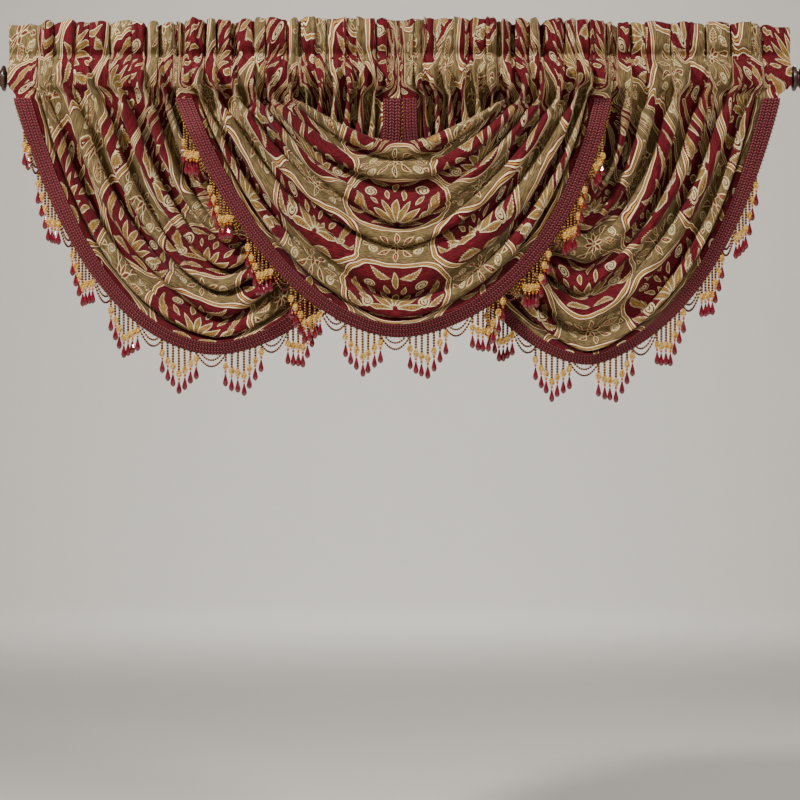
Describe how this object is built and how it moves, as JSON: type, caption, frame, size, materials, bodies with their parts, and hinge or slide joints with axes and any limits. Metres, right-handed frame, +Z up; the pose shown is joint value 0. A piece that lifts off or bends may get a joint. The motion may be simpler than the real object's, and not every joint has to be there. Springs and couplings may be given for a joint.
{
  "type": "waterfall valance and rod",
  "caption": "Gathered swag valances with braid trim and beaded fringe, overlapped side by side on one turned wooden rod.",
  "frame": {"origin": "middle of the rod, on its axis", "axes": "+X along the rod to the right as seen from the room, +Y to the wall, +Z up"},
  "size_m": [1.9926, 0.1221, 0.9261],
  "materials": {
    "damask": "heavy woven damask, olive tan and burgundy with light gold figures",
    "braid": "matt woven braid, dark burgundy with a pinkish fleck",
    "beads": "glossy ruby, gold and amber beads",
    "wood": "dark brown satin lacquer"
  },
  "bodies": {
    "root": {"pole": "wood", "finial_left": "wood", "finial_right": "wood", "header_left_outer": "damask", "header_centre_left": "damask", "header_left_inner": "damask", "header_right_inner": "damask", "header_centre_right": "damask", "header_right_outer": "damask", "swag_centre": "damask", "swag_left": "damask", "swag_right": "damask", "trim_centre": "braid", "trim_left": "braid", "trim_right": "braid", "fringe_centre": "beads", "fringe_left": "beads", "fringe_right": "beads"}
  },
  "joints": []
}
